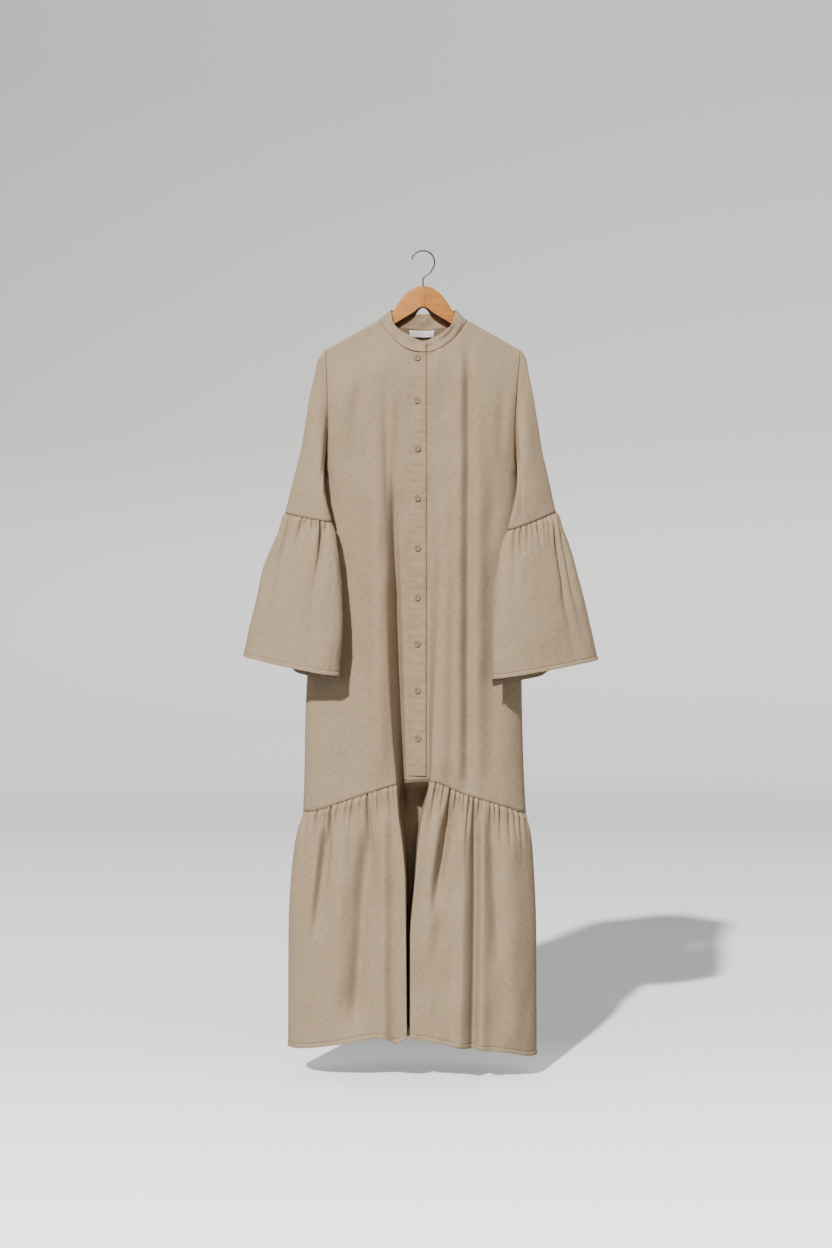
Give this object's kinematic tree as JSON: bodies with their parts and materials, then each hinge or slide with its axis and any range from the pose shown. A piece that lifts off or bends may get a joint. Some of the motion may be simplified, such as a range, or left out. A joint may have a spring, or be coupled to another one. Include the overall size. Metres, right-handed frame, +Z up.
{
  "type": "shirt dress on a hanger",
  "caption": "Long shirt dress with a stand collar, buttoned front placket, gathered bell cuffs and a gathered lower skirt, hanging on a wooden hanger with a wire hook.",
  "frame": {"origin": "underside of the hook's crown, where a rod would carry it", "axes": "+X towards the picture's right (the wearer's left), -Y out of the front of the dress, +Z up"},
  "size_m": [0.6791, 0.2194, 1.5509],
  "materials": {
    "sand_cotton": "matte plain weave",
    "white_label_tape": "smooth woven tape",
    "sand_button": "satin",
    "varnished_beech": "satin varnish",
    "dark_steel_wire": "satin"
  },
  "bodies": {
    "root": {"front_right": "sand_cotton", "front_left": "sand_cotton", "back": "sand_cotton", "placket": "sand_cotton", "collar_band": "sand_cotton", "sleeve_right": "sand_cotton", "sleeve_left": "sand_cotton", "cuff_right": "sand_cotton", "cuff_left": "sand_cotton", "skirt_front": "sand_cotton", "skirt_back": "sand_cotton", "label": "white_label_tape", "button_1": "sand_button", "button_2": "sand_button", "button_3": "sand_button", "button_4": "sand_button", "button_5": "sand_button", "button_6": "sand_button", "button_7": "sand_button", "button_8": "sand_button", "button_9": "sand_button", "hanger_arm_right": "varnished_beech", "hanger_arm_left": "varnished_beech", "hook": "dark_steel_wire"}
  },
  "joints": []
}
